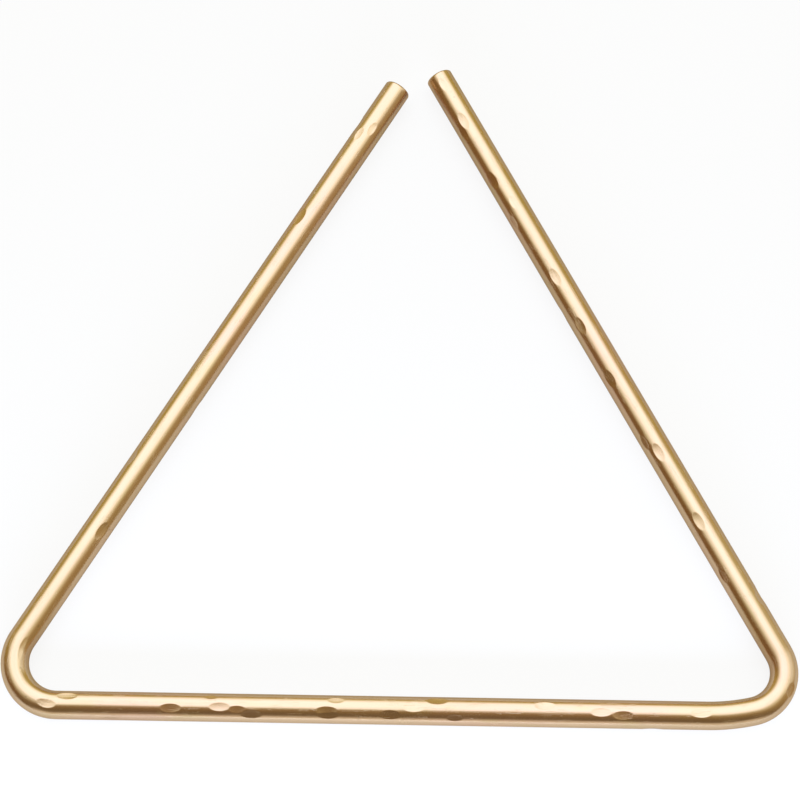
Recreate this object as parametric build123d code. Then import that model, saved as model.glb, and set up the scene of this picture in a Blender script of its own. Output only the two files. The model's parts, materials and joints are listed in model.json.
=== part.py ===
from build123d import *
import math
import os

# Triangle instrument: one bronze rod, bent at two corners, hammered by hand and left open at the third.
# It lies flat, base bar along X and open corner towards +Y, with the rod resting on Z = 0.
# The origin is under the middle of the outline. Lengths are in millimetres, angles in degrees.

# Rod and outline
rod_diameter = 9.0
overall_width = 254.0  # ten inches, outside to outside of the two bends
left_bend_radius = 14.0  # centre-line of the left bend
right_bend_radius = 13.0  # centre-line of the right bend
sweep_radius = 66.0  # long sweep that leads the base bar into the right bend
sweep_turn = 13.0  # part of the right corner that the sweep takes up
left_angle = 59.0  # between the base bar and the left leg
right_angle = 61.0  # between the base bar and the right leg
open_gap = 5.9  # clear space between the facing rims of the two free ends
end_stagger = 5.8  # how much further from the open corner the left leg stops
end_round = 0.8  # edge of the sawn ends, rounded with a file

# Hammer
crown_radius = 20.0  # domed face of the hammer
firm_blow = 0.28  # depth of a full mark
light_blow = 0.18  # depth of a glancing mark
faint_blow = 0.10  # depth of a mark that hardly shows
back_pitch = 33.0  # spacing of the marks on the turned-away side
back_spread = 100.0  # how far those marks wander each way from straight down

rod_radius = rod_diameter / 2


def centre_line():
    # Open triangle of straight bars and bends, in order from the left free end round to the right one.
    # The base bar rises along a long sweep before the right bend, which takes up the rest of that corner.
    left, right, rise = math.radians(left_angle), math.radians(right_angle), math.radians(sweep_turn)
    half_width = overall_width / 2 - rod_radius
    base_start = left_bend_radius - half_width
    base_end = half_width - right_bend_radius - (sweep_radius - right_bend_radius) * math.sin(rise)

    # The legs are measured from where their axes cross the line of the base bar.
    left_bend_length = left_bend_radius / math.tan(left / 2)
    left_corner = base_start - left_bend_length
    right_height = sweep_radius - (sweep_radius - right_bend_radius) * math.cos(rise)
    right_height += right_bend_radius * math.cos(right)
    right_corner = half_width - right_bend_radius * (1 - math.sin(right)) + right_height / math.tan(right)

    # Each leg stops short of the corner where both would meet, so that the rims keep their gap.
    apex = math.pi - left - right
    side = (right_corner - left_corner) / math.sin(apex)
    setback = (open_gap / 2 + rod_radius * math.cos(apex / 2)) / math.sin(apex / 2)
    left_leg = side * math.sin(right) - setback - end_stagger / 2
    right_leg = side * math.sin(left) - setback + end_stagger / 2

    # Highest points of the two rounded rims, which set where the middle of the outline is.
    rim = rod_radius - end_round
    left_top = (left_leg - end_round) * math.sin(left) + rim * math.cos(left) + end_round
    right_top = (right_leg - end_round) * math.sin(right) + rim * math.cos(right) + end_round
    base_y = (rod_radius - max(left_top, right_top)) / 2

    down_left = Vector(-math.cos(left), -math.sin(left))
    left_end = Vector(left_corner, base_y) - down_left * left_leg
    right_end = Vector(right_corner - right_leg * math.cos(right), base_y + right_leg * math.sin(right))
    left_bar = Line(left_end, left_end + down_left * (left_leg - left_bend_length))
    left_bend = JernArc(left_bar @ 1, left_bar % 1, left_bend_radius, 180 - left_angle)
    base_bar = Line(left_bend @ 1, Vector(base_end, base_y))
    base_sweep = JernArc(base_bar @ 1, base_bar % 1, sweep_radius, sweep_turn)
    right_bend = JernArc(base_sweep @ 1, base_sweep % 1, right_bend_radius, 180 - right_angle - sweep_turn)
    right_bar = Line(right_bend @ 1, right_end)
    runs = [left_bar, left_bend, base_bar, base_sweep, right_bend, right_bar]
    return [Pos(0, 0, rod_radius) * run for run in runs]


def plain_rod(path):
    # Round bar stock following the centre-line, with filed edges at both sawn ends.
    section = Plane(origin=path @ 0, z_dir=path % 0) * Circle(rod_radius)
    rod = sweep(section, path=path)
    sawn_ends = rod.faces().filter_by(GeomType.PLANE)
    return fillet(sawn_ends.edges(), end_round)


def hammer_ball(run, share, clock, depth):
    # Domed hammer face sunk into the rod, share of the way along one run of the centre-line.
    # The clock angle is 0 on top of the rod, 90 on the outside of the triangle, -90 on its inside.
    along = run % share
    outward = along.cross(Vector(0, 0, 1))
    turn = math.radians(clock)
    facing = Vector(0, 0, 1) * math.cos(turn) + outward * math.sin(turn)
    centre = run @ share + facing * (rod_radius + crown_radius - depth)
    return Plane(origin=centre, x_dir=facing, z_dir=along) * Sphere(crown_radius)


def back_marks(run):
    # Marks spread evenly along the side that lies down, stepping round it by the golden ratio.
    golden = (math.sqrt(5) - 1) / 2
    count = int(run.length / back_pitch)
    marks = []
    for step in range(count):
        wander = 2 * ((step * golden) % 1) - 1
        marks.append(((step + 0.5) / count, 180 + back_spread * wander, firm_blow))
    return marks


# Marks on the side that faces up: share of the run, clock angle and depth, from the left end onwards.
left_leg_marks = [
    (0.084, -18, light_blow),
    (0.101, 19, light_blow),
    (0.260, 29, firm_blow),
    (0.700, 42, light_blow),
    (0.814, -33, firm_blow),
]
left_bend_marks = [
    (0.12, -27, faint_blow),
    (0.91, 8, firm_blow),
]
base_marks = [
    (0.018, -30, firm_blow),
    (0.177, 16, firm_blow),
    (0.238, -35, faint_blow),
    (0.252, 7, firm_blow),
    (0.279, 17, light_blow),
    (0.301, 36, firm_blow),
    (0.416, 17, firm_blow),
    (0.418, 32, firm_blow),
    (0.430, -29, light_blow),
    (0.513, 29, firm_blow),
    (0.549, -4, firm_blow),
    (0.585, -36, firm_blow),
    (0.612, 37, light_blow),
    (0.750, -19, firm_blow),
    (0.836, 3, firm_blow),
    (0.870, 16, firm_blow),
    (0.989, 0, firm_blow),
]
right_bend_marks = [
    (0.50, 40, firm_blow),
]
right_leg_marks = [
    (0.078, 42, light_blow),
    (0.130, -50, light_blow),
    (0.214, -20, firm_blow),
    (0.329, -18, firm_blow),
    (0.352, -50, light_blow),
    (0.458, -39, firm_blow),
    (0.549, -33, firm_blow),
    (0.631, -18, firm_blow),
    (0.737, -56, light_blow),
    (0.762, -9, light_blow),
    (0.809, -41, firm_blow),
    (0.896, -46, light_blow),
    (0.912, -17, firm_blow),
    (0.978, -12, light_blow),
]

left_leg, left_bend, base, base_sweep, right_bend, right_leg = centre_line()
path = Wire([left_leg, left_bend, base, base_sweep, right_bend, right_leg])
hammered_runs = [
    (left_leg, left_leg_marks + back_marks(left_leg)),
    (left_bend, left_bend_marks),
    (base, base_marks + back_marks(base)),
    (right_bend, right_bend_marks),
    (right_leg, right_leg_marks + back_marks(right_leg)),
]
balls = [hammer_ball(run, *mark) for run, marks in hammered_runs for mark in marks]
triangle_rod = plain_rod(path) - balls

os.makedirs("parts", exist_ok=True)
export_step(triangle_rod, "parts/triangle_rod.step")
print("rod length", round(path.length, 1), "mm, hammer marks", len(balls))
print("box", triangle_rod.bounding_box())
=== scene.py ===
import json
import math

import bpy
import numpy as np
from mathutils import Matrix, Vector


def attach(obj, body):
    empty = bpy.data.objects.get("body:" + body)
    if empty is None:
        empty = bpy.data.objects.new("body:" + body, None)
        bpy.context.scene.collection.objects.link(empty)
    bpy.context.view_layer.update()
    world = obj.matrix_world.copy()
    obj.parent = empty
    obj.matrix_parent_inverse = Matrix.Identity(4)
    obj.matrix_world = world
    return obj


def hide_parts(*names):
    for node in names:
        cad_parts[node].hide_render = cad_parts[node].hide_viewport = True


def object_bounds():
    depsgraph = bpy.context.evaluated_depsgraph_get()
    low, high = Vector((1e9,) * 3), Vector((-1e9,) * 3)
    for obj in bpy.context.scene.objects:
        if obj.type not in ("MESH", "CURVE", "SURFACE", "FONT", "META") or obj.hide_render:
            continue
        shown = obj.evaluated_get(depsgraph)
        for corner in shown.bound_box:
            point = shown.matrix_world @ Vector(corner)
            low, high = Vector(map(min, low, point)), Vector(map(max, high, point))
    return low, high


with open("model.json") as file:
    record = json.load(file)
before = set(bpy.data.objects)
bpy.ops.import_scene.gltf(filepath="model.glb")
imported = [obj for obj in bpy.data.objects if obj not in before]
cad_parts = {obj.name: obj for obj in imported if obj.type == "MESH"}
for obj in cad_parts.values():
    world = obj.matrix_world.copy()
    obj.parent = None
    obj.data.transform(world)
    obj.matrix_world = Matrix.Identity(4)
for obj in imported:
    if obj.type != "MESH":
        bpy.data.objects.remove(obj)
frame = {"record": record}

scene = bpy.context.scene
scene.view_settings.view_transform = "Standard"
cadLow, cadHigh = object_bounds()
mounts = {m["name"]: m for m in frame["record"]["mounts"]}
mmPerMetre = 1000
rodRadius = mounts["left_leg_end"]["dims"]["r_mm"] / mmPerMetre
baseY = cadLow.y + rodRadius
print("frame loaded, rod radius", rodRadius)


# Centre-line. A leg's mount gives the axis and length of its straight wall, the base bar lies on the low side
# of the box, and each bend is the arc that leads from one to the other, on the right by way of a long sweep.
bar = {
    "endRound": 0.0008,    # filed edge past the end of each leg's wall
    "sweepRadius": 0.066,  # long sweep between the base bar and the right bend
    "sweepTurn": 13.0,     # degrees of the right corner that it takes up
}
sweep, sweepTurn = bar["sweepRadius"], math.radians(bar["sweepTurn"])


def legWall(name):
    # The wall starts at middle - axis * length / 2, and the leg's tip is one filed edge past its other end.
    mount = mounts[name]
    middle, along = np.array(mount["pos_m"][:2]), np.array(mount["axis"][:2])
    half = along * mount["dims"]["length_mm"] / mmPerMetre / 2
    return middle - half, middle + half + along * bar["endRound"], along


def bendAt(wallStart, along, rise=0.0):
    # Height of the wall's start = sweep * (1 - cos rise) + radius * (cos rise + cos corner), where the
    # sweep turns by the rise. It lies sweep * sin rise + radius * (sin corner - sin rise) past the end
    # of the base bar.
    corner = math.atan2(along[1], abs(along[0]))
    radius = (wallStart[1] - baseY - sweep * (1 - math.cos(rise))) / (math.cos(rise) + math.cos(corner))
    past = sweep * math.sin(rise) + radius * (math.sin(corner) - math.sin(rise))
    return radius, math.pi - corner - rise, wallStart[0] + math.copysign(past, along[0])


leftStart, leftTip, leftAlong = legWall("left_leg_end")
rightStart, rightTip, rightAlong = legWall("right_leg_end")
leftRadius, leftTurn, baseStart = bendAt(leftStart, leftAlong)
rightRadius, rightTurn, baseEnd = bendAt(rightStart, rightAlong, sweepTurn)
sweepEnd = np.array([baseEnd + sweep * math.sin(sweepTurn), baseY + sweep * (1 - math.cos(sweepTurn))])

# Runs in order from the left free end round to the right one. A run with no radius is straight.
downLeft = math.atan2(-leftAlong[1], -leftAlong[0])
upRight = math.atan2(rightAlong[1], rightAlong[0])
leftLength = np.linalg.norm(leftTip - leftStart)
rightLength = np.linalg.norm(rightTip - rightStart)
runs = {
    "leftLeg": dict(start=leftTip, heading=downLeft, length=leftLength, radius=0),
    "leftBend": dict(start=leftStart, heading=downLeft, length=leftRadius * leftTurn, radius=leftRadius),
    "base": dict(start=np.array([baseStart, baseY]), heading=0.0, length=baseEnd - baseStart, radius=0),
    "sweep": dict(start=np.array([baseEnd, baseY]), heading=0.0, length=sweep * sweepTurn, radius=sweep),
    "rightBend": dict(start=sweepEnd, heading=sweepTurn, length=rightRadius * rightTurn, radius=rightRadius),
    "rightLeg": dict(start=rightStart, heading=upRight, length=rightLength, radius=0),
}
runStart, rodLength = {}, 0.0
for name, run in runs.items():
    runStart[name] = rodLength
    rodLength += run["length"]


def alongRun(run, way):
    # Straight: start + way * heading. Bend: heading grows by way / radius, and the point circles a centre
    # that lies one radius to the left of the start. Outward is to the right of the heading.
    heading, radius = run["heading"], run["radius"]
    turn = heading + (way / radius if radius else way * 0)
    outward = np.stack([np.sin(turn), -np.cos(turn), way * 0], -1)
    if radius:
        centre = run["start"] - radius * np.array([math.sin(heading), -math.cos(heading)])
        place = centre + radius * outward[:, :2]
    else:
        place = run["start"] + way[:, None] * np.array([math.cos(heading), math.sin(heading)])
    return np.column_stack([place, np.full(len(way), rodRadius)]), outward


def centreLine(way):
    # Place and outward direction at each distance from the left free end, from the run that it falls in.
    place, outward = np.empty((len(way), 3)), np.empty((len(way), 3))
    for name, run in runs.items():
        here = (way >= runStart[name]) & (way <= runStart[name] + run["length"])
        place[here], outward[here] = alongRun(run, way[here] - runStart[name])
    return place, outward


print("centre-line", round(rodLength, 4), "m")


# Hammer marks: share of the run, clock angle round the rod (0 top, 90 outside, -90 inside) and depth.
hammer = {
    "crown": 0.020,        # radius of the domed face
    "firm": 0.00028,
    "light": 0.00018,
    "faint": 0.0001,
    "backPitch": 0.033,    # marks on the side that lies down
    "backClock": 180,
    "backSpread": 100,
    "reach": 0.006,        # no blow spreads further than this along the rod
}
firm, light, faint = hammer["firm"], hammer["light"], hammer["faint"]
marks = {
    "leftLeg": [(.084, -18, light), (.101, 19, light), (.260, 29, firm), (.700, 42, light),
                (.814, -33, firm)],
    "leftBend": [(.12, -27, faint), (.91, 8, firm)],
    "base": [(.018, -30, firm), (.177, 16, firm), (.238, -35, faint), (.252, 7, firm), (.279, 17, light),
             (.301, 36, firm), (.416, 17, firm), (.418, 32, firm), (.430, -29, light), (.513, 29, firm),
             (.549, -4, firm), (.585, -36, firm), (.612, 37, light), (.750, -19, firm), (.836, 3, firm),
             (.870, 16, firm), (.989, 0, firm)],
    "rightBend": [(.50, 40, firm)],
    "rightLeg": [(.078, 42, light), (.130, -50, light), (.214, -20, firm), (.329, -18, firm),
                 (.352, -50, light), (.458, -39, firm), (.549, -33, firm), (.631, -18, firm),
                 (.737, -56, light), (.762, -9, light), (.809, -41, firm), (.896, -46, light),
                 (.912, -17, firm), (.978, -12, light)],
}


def backMarks(length):
    # Evenly along the run, stepping round the underside by the golden ratio.
    golden = (math.sqrt(5) - 1) / 2
    count = int(length / hammer["backPitch"])
    step = np.arange(count)
    angles = hammer["backClock"] + hammer["backSpread"] * (2 * ((step * golden) % 1) - 1)
    return [(share, angle, firm) for share, angle in zip((step + .5) / count, angles)]


for name in ("leftLeg", "base", "rightLeg"):
    marks[name] += backMarks(runs[name]["length"])


def around(outward, clock):
    # Unit vector at a clock angle: cos * up + sin * outward.
    up = np.array([0, 0, 1.0])
    return outward * np.sin(clock)[..., None] + up * np.cos(clock)[..., None]


# Hammered rod, on a grid of coarse cells that are split where the rim of a mark crosses them
rod = {
    "name": "triangleRod",
    "cell": 0.001,
    "sides": 48,
    "split": 4,            # small cells per coarse cell, each way
    "roundRings": 6,
    "faceRings": 6,
}
skinMap = {
    "strips": 5,           # strips that the unrolled skin is laid out in
    "left": 0.005,
    "width": 0.98,
    "height": 0.93,        # of all strips together, with both caps above them
    "margin": 0.02,        # share of a strip that stays free at each long side
    "capRadius": 0.028,
    "capPlaces": ((0.05, 0.965), (0.15, 0.965)),
}
fineSides = rod["sides"] * rod["split"]
coarse = np.arange(rod["sides"]) * rod["split"]
sideClock = np.linspace(-math.pi, math.pi, fineSides, endpoint=False)
sideAcross = np.stack([np.sin(sideClock), np.cos(sideClock)], -1)


def rodSurface(place, ray):
    # Radius along each ray, and the number of the blow that it meets, or 0. The radius is the rod's, except
    # where the ray from the axis meets a hammer ball first:
    # r = b - sqrt(b * b - c), with b = ray . (ball - axis) and c = |ball - axis|^2 - crown^2.
    crown = hammer["crown"]
    radius = np.full(ray.shape[:2], rodRadius)
    owner = np.zeros(ray.shape[:2], int)
    blows = [(name, *blow) for name in marks for blow in marks[name]]
    for number, (name, share, angle, depth) in enumerate(blows, 1):
        at, out = alongRun(runs[name], np.array([share * runs[name]["length"]]))
        facing = around(out, np.array([math.radians(angle)]))[0]
        ball = at[0] + facing * (rodRadius + crown - depth)
        near = np.flatnonzero(np.linalg.norm(place - at[0], axis=1) < hammer["reach"])
        gap = ball - place[near]
        b = np.einsum("ijk,ik->ij", ray[near], gap)
        root = b * b - (gap ** 2).sum(1)[:, None] + crown ** 2
        met = np.where((root > 0) & (b > 0), b - np.sqrt(np.maximum(root, 0)), rodRadius)
        owner[near] = np.where(met < radius[near], number, owner[near])
        radius[near] = np.minimum(radius[near], met)
    return radius, owner


def rimCells(owner, cells):
    # A cell is on a rim where its nodes don't all belong to the same blow, or to none.
    split = rod["split"]
    rows, steps = np.arange(cells) * split, range(split + 1)
    nodes = [owner[rows + i][:, (coarse + j) % fineSides] for i in steps for j in steps]
    return np.minimum.reduce(nodes) != np.maximum.reduce(nodes)


def gridFaces(onRim):
    # Rim cells become small quads. Any other cell is one face, which takes in the extra nodes on the sides
    # that it shares with rim cells.
    split = rod["split"]
    corners = np.array([(0, 0), (0, 1), (1, 1), (1, 0)])
    row, column = np.nonzero(onRim)
    row = row[:, None, None] * split + np.arange(split)[:, None]
    column = column[:, None, None] * split + np.arange(split)
    small = [(row + i) * fineSides + (column + j) % fineSides for i, j in corners]
    faceSets = [np.stack(small, -1).reshape(-1, 4)]
    none = np.zeros((1, onRim.shape[1]), bool)
    shared = [np.concatenate([none, onRim[:-1]]), np.roll(onRim, -1, 1),
              np.concatenate([onRim[1:], none]), np.roll(onRim, 1, 1)]
    pattern = sum(meets * 2 ** side for side, meets in enumerate(shared))
    for kind in range(2 ** len(shared)):
        outline = []
        for side in range(len(corners)):
            count = split if kind >> side & 1 else 1
            ahead = corners[(side + 1) % len(corners)] - corners[side]
            outline += [corners[side] * split + ahead * step * split // count for step in range(count)]
        outline = np.array(outline)
        row, column = np.nonzero(~onRim & (pattern == kind))
        row = row[:, None] * split + outline[:, 0]
        column = column[:, None] * split + outline[:, 1]
        faceSets.append(row * fineSides + column % fineSides)
    return faceSets


def unrolled(way, clock):
    # Bake map: the skin is cut along the underside and laid out in strips, one above the other.
    strips, margin = skinMap["strips"], skinMap["margin"]
    length = rodLength / strips
    clock = np.where(clock.max(1, keepdims=True) - clock > math.pi, clock + 2 * math.pi, clock)
    strip = np.clip(way.min(1, keepdims=True) // length, 0, strips - 1)
    u = skinMap["left"] + skinMap["width"] * (way / length - strip)
    inStrip = margin + (1 - 2 * margin) * (clock / math.pi + 1) / 2
    return np.stack([u, skinMap["height"] * (strip + inStrip) / strips], -1)


def rodSkin():
    # Long surface of the rod: centre-line + radius * ray, at the grid nodes that some face uses.
    cells = round(rodLength / rod["cell"])
    way = np.linspace(bar["endRound"], rodLength - bar["endRound"], cells * rod["split"] + 1)
    place, outward = centreLine(way)
    ray = around(outward[:, None, :], np.broadcast_to(sideClock, (len(way), fineSides)))
    radius, owner = rodSurface(place, ray)
    faceSets = gridFaces(rimCells(owner, cells))
    used = np.unique(np.concatenate([f.ravel() for f in faceSets]))
    row, column = used // fineSides, used % fineSides
    wide = radius[row, column][:, None]
    skin = {
        "points": place[row] + ray[row, column] * wide,
        "straight": np.column_stack([way[row], sideAcross[column] * wide]),
        "dent": np.clip((rodRadius - wide[:, 0]) / firm, 0, 1),
        "faceSets": [np.searchsorted(used, f) for f in faceSets],
        "maps": [unrolled(way[f // fineSides], sideClock[f % fineSides]) for f in faceSets],
    }
    ends = []
    for last, along, sign in ((0, leftAlong, -1), (len(way) - 1, rightAlong, 1)):
        rim = np.searchsorted(used, last * fineSides + coarse)
        ends.append({"rim": rim, "place": place[last], "ray": ray[last, coarse], "way": way[last],
                     "direction": np.append(along, 0), "sign": sign})
    return skin, ends


def capFaces():
    # On a cap's own rings, of which the first is the rod's last one and the last is a single middle point.
    sides, rings = rod["sides"], rod["roundRings"] + rod["faceRings"]
    ring = np.arange(rings * sides).reshape(-1, sides)
    ahead = np.roll(ring, -1, 1)
    quads = np.stack([ring[:-1], ahead[:-1], ahead[1:], ring[1:]], -1).reshape(-1, 4)
    fan = np.stack([ring[-1], ahead[-1], np.full(sides, rings * sides)], -1)
    return quads, fan


def addCap(skin, end, mapPlace):
    # Filed edge and sawn face: quarter circle of the edge radius, then smaller and smaller rings to the
    # middle.
    edge = bar["endRound"]
    turn = np.linspace(0, math.pi / 2, rod["roundRings"] + 1)[1:]
    inner = (rodRadius - edge) * np.linspace(1, 0, rod["faceRings"] + 1)[1:]
    out = np.append(edge * np.sin(turn), np.full(len(inner), edge))[:, None, None]
    wide = np.append(rodRadius - edge + edge * np.cos(turn), inner)[:, None, None]
    cap = end["place"] + end["direction"] * out + end["ray"] * wide
    section = sideAcross[coarse] * wide
    lengthwise = np.broadcast_to(end["way"] + end["sign"] * out, (*section.shape[:2], 1))
    straight = np.concatenate([lengthwise, section], -1)

    made = (len(cap) - 1) * rod["sides"] + 1
    nodes = np.append(end["rim"], len(skin["points"]) + np.arange(made))
    disc = sideAcross[coarse] * np.linspace(skinMap["capRadius"], 0, len(cap) + 1)[:, None, None]
    disc = disc.reshape(-1, 2)[:len(nodes)] + mapPlace
    skin["points"] = np.concatenate([skin["points"], cap.reshape(-1, 3)[:made]])
    skin["straight"] = np.concatenate([skin["straight"], straight.reshape(-1, 3)[:made]])
    skin["dent"] = np.append(skin["dent"], np.zeros(made))
    for face in capFaces():
        face = face[:, ::end["sign"]]
        skin["faceSets"].append(nodes[face])
        skin["maps"].append(disc[face])


def buildRod():
    skin, ends = rodSkin()
    for end, mapPlace in zip(ends, skinMap["capPlaces"]):
        addCap(skin, end, mapPlace)
    faceSets, straight = skin["faceSets"], skin["straight"]
    mesh = bpy.data.meshes.new(rod["name"])
    mesh.from_pydata(skin["points"].tolist(), [], [face for f in faceSets for face in f.tolist()])
    mesh.polygons.foreach_set("use_smooth", np.ones(len(mesh.polygons), bool))
    fromAxis = np.concatenate([np.hypot(*straight[f][..., 1:].mean(1).T) for f in faceSets])
    insideEdge = fromAxis < rodRadius - bar["endRound"]    # the two sawn faces
    mesh.polygons.foreach_set("material_index", insideEdge.astype(np.int32))
    mesh.attributes.new("straightRod", "FLOAT_VECTOR", "POINT").data.foreach_set("vector", straight.ravel())
    mesh.attributes.new("dent", "FLOAT", "POINT").data.foreach_set("value", skin["dent"])
    bakeMap = mesh.uv_layers.new(name="OFBake")
    bakeMap.uv.foreach_set("vector", np.concatenate([m.reshape(-1, 2) for m in skin["maps"]]).ravel())
    mesh.update()
    piece = bpy.data.objects.new(rod["name"], mesh)
    scene.collection.objects.link(piece)
    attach(piece, "root")
    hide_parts("triangle_rod")
    return piece


triangleRod = buildRod()
triangles = sum(len(p.vertices) - 2 for p in triangleRod.data.polygons)
print("rod", len(triangleRod.data.polygons), "faces,", triangles, "triangles")


# Shader helpers
def addNode(tree, kind, **settings):
    made = tree.nodes.new(kind)
    for key, value in settings.items():
        setattr(made, key, value)
    return made


def feed(tree, target, socket, source):
    if isinstance(source, bpy.types.NodeSocket):
        tree.links.new(source, target.inputs[socket])
    else:
        target.inputs[socket].default_value = source


def compute(tree, operation, *values):
    made = addNode(tree, "ShaderNodeMath", operation=operation)
    for socket, value in enumerate(values):
        feed(tree, made, socket, value)
    return made.outputs[0]


def smoothStep(tree, value, low, high):
    # 0 at low and 1 at high, also where low is the greater.
    made = addNode(tree, "ShaderNodeMapRange", interpolation_type="SMOOTHSTEP")
    feed(tree, made, "Value", value)
    feed(tree, made, "From Min", low)
    feed(tree, made, "From Max", high)
    return made.outputs[0]


def blend(tree, share, first, second, kind="MIX"):
    # The Mix node's colours are its inputs 6 and 7 and its output 2.
    made = addNode(tree, "ShaderNodeMix", data_type="RGBA", blend_type=kind)
    feed(tree, made, 0, share)
    feed(tree, made, 6, first)
    feed(tree, made, 7, second)
    return made.outputs[2]


def noise(tree, place, scale, detail, turn=(0, 0, 0)):
    # Noise on a place that is turned and then scaled along its own axes.
    mapping = addNode(tree, "ShaderNodeMapping")
    feed(tree, mapping, "Vector", place)
    feed(tree, mapping, "Rotation", [math.radians(t) for t in turn])
    feed(tree, mapping, "Scale", scale)
    made = addNode(tree, "ShaderNodeTexNoise")
    feed(tree, made, "Vector", mapping.outputs[0])
    feed(tree, made, "Scale", 1.0)
    feed(tree, made, "Detail", detail)
    return made.outputs[0]


def newGroup(name, inputs, output, kind):
    tree = bpy.data.node_groups.new(name, "ShaderNodeTree")
    for label, socket in inputs.items():
        tree.interface.new_socket(label, in_out="INPUT", socket_type="NodeSocket" + socket)
    tree.interface.new_socket(output, in_out="OUTPUT", socket_type="NodeSocket" + kind)
    return tree, addNode(tree, "NodeGroupInput").outputs, addNode(tree, "NodeGroupOutput")


def useGroup(tree, group, **inputs):
    made = addNode(tree, "ShaderNodeGroup", node_tree=group)
    for label, source in inputs.items():
        feed(tree, made, label, source)
    return made.outputs[0]


# Effects that both finishes share, on straightened-rod coordinates in metres. A scale is given along the rod
# and in the two directions across it, and a range is where a mask starts and where it is full.
wear = {
    "slowScale": (30, 90, 90),
    "slowRange": (0.42, 0.70),
    "quickScale": (70, 260, 260),
    "quickRange": (0.50, 0.75),
    "scratchScale": (60, 1100, 1100),
    "scratchTurns": ((0, 24, 11), (0, -31, -17)),
    "patchScale": (160, 400, 400),     # scratches keep to patches
    "patchRange": (0.50, 0.62),
    "speckScale": 420.0,
    "speckRange": (0.86, 0.98),        # few cells have a speck
}


def makeToneDrift():
    # Slow wandering of the alloy's colour, towards rose in some places and olive in others.
    tree, given, result = newGroup("toneDrift", {"Place": "Vector", "Tone": "Color", "Rose": "Color",
                                                 "Olive": "Color"}, "Colour", "Color")
    slow = smoothStep(tree, noise(tree, given["Place"], wear["slowScale"], 2.0), *wear["slowRange"])
    quick = smoothStep(tree, noise(tree, given["Place"], wear["quickScale"], 3.0), *wear["quickRange"])
    rosy = blend(tree, slow, given["Tone"], given["Rose"])
    feed(tree, result, 0, blend(tree, quick, rosy, given["Olive"]))
    return tree


def makeScratches():
    # Hair lines where a stretched noise crosses its middle value, in two directions.
    tree, given, result = newGroup("fineScratches", {"Place": "Vector", "Width": "Float"}, "Mask", "Float")
    lines = []
    for turn in wear["scratchTurns"]:
        crossing = noise(tree, given["Place"], wear["scratchScale"], 1.0, turn)
        away = compute(tree, "ABSOLUTE", compute(tree, "SUBTRACT", crossing, .5))
        lines.append(smoothStep(tree, away, given["Width"], 0.0))
    patches = smoothStep(tree, noise(tree, given["Place"], wear["patchScale"], 1.0), *wear["patchRange"])
    both = compute(tree, "MAXIMUM", *lines)
    feed(tree, result, 0, compute(tree, "MULTIPLY", both, patches))
    return tree


def makeSpecks():
    # Small dark pits: the middles of some cells.
    tree, given, result = newGroup("darkSpecks", {"Place": "Vector", "Size": "Float"}, "Mask", "Float")
    cells = addNode(tree, "ShaderNodeTexVoronoi")
    feed(tree, cells, "Vector", given["Place"])
    feed(tree, cells, "Scale", wear["speckScale"])
    spot = smoothStep(tree, cells.outputs["Distance"], given["Size"], 0.0)
    drawn = addNode(tree, "ShaderNodeSeparateColor")
    feed(tree, drawn, 0, cells.outputs["Color"])
    some = smoothStep(tree, drawn.outputs[0], *wear["speckRange"])
    feed(tree, result, 0, compute(tree, "MULTIPLY", spot, some))
    return tree


toneDrift, fineScratches, darkSpecks = makeToneDrift(), makeScratches(), makeSpecks()

# Bronze finishes: what both have, then the bar's skin and the sawn faces
bronze = {
    "tone": (0.79, 0.565, 0.36, 1),
    "rose": (0.80, 0.545, 0.375, 1),
    "olive": (0.76, 0.56, 0.335, 1),
    "edge": (0.90, 0.80, 0.64, 1),     # tint of the reflection at a grazing angle
    "scratchWidth": 0.012,
    "speckSize": 0.22,
}
hammered = {
    "lineScale": (24, 2300, 2300),
    "lineHeight": 0.00001,
    "streakScale": (10, 650, 650),
    "streakRange": (0.35, 0.80),
    "streakTint": (0.97, 0.95, 0.93, 1),
    "speck": (0.58, 0.43, 0.29, 1),
    "roughness": 0.23,
    "streakRoughness": 0.16,   # from the smoothest streak to the roughest
    "scratchRoughness": 0.05,
    "dentGloss": 0.03,
}
sawn = {
    "lines": 700.0,
    "wobble": 2.0,
    "height": 0.00003,
    "shade": 0.5,
    "tint": (0.86, 0.84, 0.80, 1),
    "roughness": 0.42,
    "lineRoughness": 0.12,
    "speckRoughness": 0.1,
}


def startBronze(name):
    made = bpy.data.materials.new(name)
    made.use_nodes = True
    tree = made.node_tree
    shader = tree.nodes["Principled BSDF"]
    feed(tree, shader, "Metallic", 1.0)
    feed(tree, shader, "Specular Tint", bronze["edge"])
    straight = addNode(tree, "ShaderNodeAttribute", attribute_name="straightRod").outputs["Vector"]
    tone = useGroup(tree, toneDrift, Place=straight, Tone=bronze["tone"], Rose=bronze["rose"],
                    Olive=bronze["olive"])
    scratch = useGroup(tree, fineScratches, Place=straight, Width=bronze["scratchWidth"])
    speck = useGroup(tree, darkSpecks, Place=straight, Size=bronze["speckSize"])
    return made, tree, shader, straight, tone, scratch, speck


def raised(tree, height, distance):
    made = addNode(tree, "ShaderNodeBump")
    feed(tree, made, "Height", height)
    feed(tree, made, "Distance", distance)
    return made.outputs[0]


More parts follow.
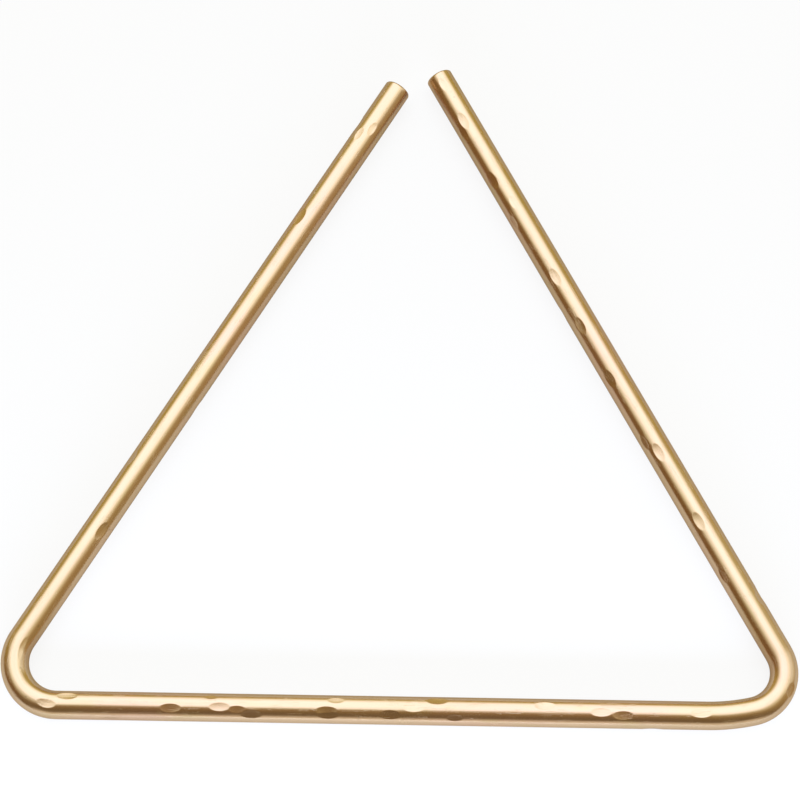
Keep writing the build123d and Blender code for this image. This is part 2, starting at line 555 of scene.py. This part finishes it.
def makeHammered():
    # Drawn bar: fine lines run along it, and a blow leaves its dent a little smoother than the bar.
    made, tree, shader, straight, tone, scratch, speck = startBronze("hammeredBronze")
    lines = noise(tree, straight, hammered["lineScale"], 3.0)
    streaks = noise(tree, straight, hammered["streakScale"], 2.0)
    dent = addNode(tree, "ShaderNodeAttribute", attribute_name="dent").outputs["Fac"]
    streaky = smoothStep(tree, streaks, *hammered["streakRange"])
    streaked = blend(tree, streaky, tone, hammered["streakTint"], "MULTIPLY")
    feed(tree, shader, "Base Color", blend(tree, speck, streaked, hammered["speck"]))
    spread = hammered["streakRoughness"]
    rough = compute(tree, "MULTIPLY_ADD", streaks, spread, hammered["roughness"] - spread / 2)
    rough = compute(tree, "ADD", rough, compute(tree, "MULTIPLY", scratch, hammered["scratchRoughness"]))
    rough = compute(tree, "SUBTRACT", rough, compute(tree, "MULTIPLY", dent, hammered["dentGloss"]))
    feed(tree, shader, "Roughness", rough)
    height = compute(tree, "ADD", lines, streaks)
    height = compute(tree, "SUBTRACT", height, compute(tree, "ADD", scratch, speck))
    feed(tree, shader, "Normal", raised(tree, height, hammered["lineHeight"]))
    return made


def makeSawn():
    # Parallel blade marks across the cut.
    made, tree, shader, straight, tone, scratch, speck = startBronze("sawnBronze")
    blade = addNode(tree, "ShaderNodeTexWave", bands_direction="Y")
    feed(tree, blade, "Vector", straight)
    feed(tree, blade, "Scale", sawn["lines"])
    feed(tree, blade, "Distortion", sawn["wobble"])
    cut = blade.outputs["Fac"]
    shade = compute(tree, "MULTIPLY", cut, sawn["shade"])
    feed(tree, shader, "Base Color", blend(tree, shade, tone, sawn["tint"], "MULTIPLY"))
    rough = compute(tree, "ADD", sawn["roughness"], compute(tree, "MULTIPLY", cut, sawn["lineRoughness"]))
    rough = compute(tree, "ADD", rough, compute(tree, "MULTIPLY", speck, sawn["speckRoughness"]))
    feed(tree, shader, "Roughness", rough)
    feed(tree, shader, "Normal", raised(tree, compute(tree, "SUBTRACT", cut, scratch), sawn["height"]))
    return made


triangleRod.data.materials.append(makeHammered())
triangleRod.data.materials.append(makeSawn())
print("bronze finishes made")


# Floor: pale paper that keeps a faint shadow
floor = {
    "reach": 6.0,
    "colour": (0.56, 0.525, 0.43, 1),      # as the metal and the light meet it
    "seenColour": (0.97, 0.945, 0.90, 1),  # as the camera sees it
    "glow": 0.86,          # share of plain white that the camera sees
    "mirroredGlow": 0.08,  # and that the metal shows
}


def buildFloor():
    r = floor["reach"]
    mesh = bpy.data.meshes.new("floor")
    mesh.from_pydata([(-r, -r, 0), (r, -r, 0), (r, r, 0), (-r, r, 0)], [], [(0, 1, 2, 3)])
    paper = bpy.data.materials.new("palePaper")
    paper.use_nodes = True
    tree = paper.node_tree
    shader = tree.nodes["Principled BSDF"]
    feed(tree, shader, "Roughness", 1.0)
    feed(tree, shader, "Specular IOR Level", 0.0)
    white = addNode(tree, "ShaderNodeEmission")
    path = addNode(tree, "ShaderNodeLightPath").outputs
    feed(tree, shader, "Base Color", blend(tree, path["Is Camera Ray"], floor["colour"], floor["seenColour"]))
    seen = compute(tree, "MULTIPLY", path["Is Camera Ray"], floor["glow"])
    mirrored = compute(tree, "MAXIMUM", path["Is Glossy Ray"], path["Is Transmission Ray"])
    mirrored = compute(tree, "MULTIPLY", mirrored, floor["mirroredGlow"])
    mixed = addNode(tree, "ShaderNodeMixShader")
    feed(tree, mixed, 0, compute(tree, "MAXIMUM", seen, mirrored))
    feed(tree, mixed, 1, shader.outputs[0])
    feed(tree, mixed, 2, white.outputs[0])
    feed(tree, tree.nodes["Material Output"], "Surface", mixed.outputs[0])
    mesh.materials.append(paper)
    ground = bpy.data.objects.new("floor", mesh)
    scene.collection.objects.link(ground)


buildFloor()
print("floor laid")


# Light: a soft box overhead and towards the open corner, in a dim warm room with a soft window on the right,
# and a small fill for the floor in front. The box is a soft-edged rectangle of the sky, measured on a ceiling
# one unit up. Each of its edges is given as its place and half its softness.
softBox = {
    "turn": -3.0,          # degrees about the vertical
    "left": (-0.98, 0.64),
    "right": (0.77, 0.55),
    "front": (-0.085, 0.10),
    "back": (2.9, 2.0),
    "frontSpread": 0.75,   # how much softer the front edge gets towards the sides
    "frontBow": 0.15,      # and how much nearer
    "rim": (1.60, 1.75, 1.25, 1),
    "core": (1.56, 1.72, 2.05, 1),
}
# Pairs below are where a wall, the low front or an edge of the window starts to show and where it is full.
room = {
    "front": (0.185, 0.138, 0.080, 1),
    "left": (0.223, 0.130, 0.050, 1),
    "right": (0.415, 0.315, 0.145, 1),
    "back": (0.490, 0.415, 0.120, 1),
    "lowFront": (0.73, 0.69, 0.59, 1),
    "sideways": (-0.70, 0.70),     # direction at which the left wall ends and the right one is full
    "frontEnds": (-0.85, -0.20),
    "backStarts": (-0.20, 0.80),
    "lowRise": (0.41, 0.147),
    "lowTurn": (-0.70, -0.93),
    "window": (0.98, 1.04, 1.00, 1),
    "windowSide": (0.15, 0.35),
    "windowFront": (-0.12, 0.10),  # tangents of its turn towards the back, from the right
    "windowBack": (0.85, 0.55),
    "windowSill": (-0.35, 0.75),
    "least": 0.001,        # keeps divisions finite
}
fill = {
    "place": (0.0, -0.28, 0.07),
    "aim": (0.0, -0.15, 0.0),
    "size": (0.40, 0.06),
    "energy": 1.7,
    "colour": (0.46, 0.58, 0.92),
}


def buildRoom():
    world = bpy.data.worlds.new("room")
    scene.world = world
    world.use_nodes = True
    tree = world.node_tree
    sky = addNode(tree, "ShaderNodeTexCoord").outputs["Generated"]
    direction = addNode(tree, "ShaderNodeSeparateXYZ")
    feed(tree, direction, 0, sky)
    x, y, z = direction.outputs
    sideWalls = blend(tree, smoothStep(tree, x, *room["sideways"]), room["left"], room["right"])
    walls = blend(tree, smoothStep(tree, y, *room["frontEnds"]), room["front"], sideWalls)
    walls = blend(tree, smoothStep(tree, y, *room["backStarts"]), walls, room["back"])
    low = smoothStep(tree, z, *room["lowRise"])
    low = compute(tree, "MULTIPLY", low, smoothStep(tree, y, *room["lowTurn"]))
    walls = blend(tree, low, walls, room["lowFront"])
    turn = compute(tree, "DIVIDE", y, compute(tree, "MAXIMUM", x, room["least"]))
    window = smoothStep(tree, x, *room["windowSide"])
    for value, edge in ((turn, "windowFront"), (turn, "windowBack"), (z, "windowSill")):
        window = compute(tree, "MULTIPLY", window, smoothStep(tree, value, *room[edge]))
    walls = blend(tree, window, walls, room["window"])

    turned = addNode(tree, "ShaderNodeVectorRotate", rotation_type="Z_AXIS")
    feed(tree, turned, "Vector", sky)
    feed(tree, turned, "Angle", math.radians(softBox["turn"]))
    ceiling = addNode(tree, "ShaderNodeSeparateXYZ")
    feed(tree, ceiling, 0, turned.outputs[0])
    rise = compute(tree, "MAXIMUM", z, room["least"])
    sideways = compute(tree, "DIVIDE", ceiling.outputs[0], rise)
    backwards = compute(tree, "DIVIDE", ceiling.outputs[1], rise)
    aside = compute(tree, "ABSOLUTE", sideways)
    box = compute(tree, "GREATER_THAN", z, 0.0)
    edges = (("left", sideways, 1), ("right", sideways, -1), ("front", backwards, 1), ("back", backwards, -1))
    for side, value, way in edges:
        edge, soft = softBox[side]
        if side == "front":
            edge = compute(tree, "SUBTRACT", edge, compute(tree, "MULTIPLY", aside, softBox["frontBow"]))
            soft = compute(tree, "ADD", soft, compute(tree, "MULTIPLY", aside, softBox["frontSpread"]))
        across = compute(tree, "DIVIDE", compute(tree, "SUBTRACT", value, edge), soft)
        box = compute(tree, "MULTIPLY", box, smoothStep(tree, across, -way, way))
    panel = blend(tree, box, softBox["rim"], softBox["core"])
    feed(tree, tree.nodes["Background"], "Color", blend(tree, box, walls, panel))


def buildFill():
    # The metal doesn't mirror the lamp itself, only the floor that it lights.
    lamp = bpy.data.lights.new("frontFill", "AREA")
    lamp.shape = "ELLIPSE"
    lamp.size, lamp.size_y = fill["size"]
    lamp.energy = fill["energy"]
    lamp.color = fill["colour"]
    made = bpy.data.objects.new("frontFill", lamp)
    made.visible_glossy = False
    made.visible_camera = False
    scene.collection.objects.link(made)
    place, aim = Vector(fill["place"]), Vector(fill["aim"])
    made.matrix_world = Matrix.Translation(place) @ (place - aim).to_track_quat("Z", "Y").to_matrix().to_4x4()


buildRoom()
buildFill()
print("light set")


# Camera, solved from the three straight bars in the 800 pixel picture
camera = {
    "elevation": 72.0,
    "distance": 0.83654,
    "roll": 0.96,          # base bar falls to the right by this many degrees
    "target": (-0.001276, 0.103471),    # from the middle of the base line
    "focalPixels": 2539.92,
    "picturePixels": 800,
    "sensorWidth": 36.0,
}


def buildCamera():
    data = bpy.data.cameras.new("camera")
    data.sensor_width = camera["sensorWidth"]
    data.lens = camera["sensorWidth"] * camera["focalPixels"] / camera["picturePixels"]
    made = bpy.data.objects.new("camera", data)
    scene.collection.objects.link(made)
    lift, roll = math.radians(camera["elevation"]), math.radians(camera["roll"])
    back = Vector((0, -math.cos(lift), math.sin(lift)))
    right = Vector((1, 0, 0))
    up = back.cross(right)
    across = right * math.cos(roll) + up * math.sin(roll)
    above = up * math.cos(roll) - right * math.sin(roll)
    target = Vector((camera["target"][0], baseY + camera["target"][1], rodRadius))
    place = target + back * camera["distance"]
    turned = Matrix((across, above, back)).transposed().to_4x4()
    made.matrix_world = Matrix.Translation(place) @ turned
    scene.camera = made


buildCamera()
print("camera set")
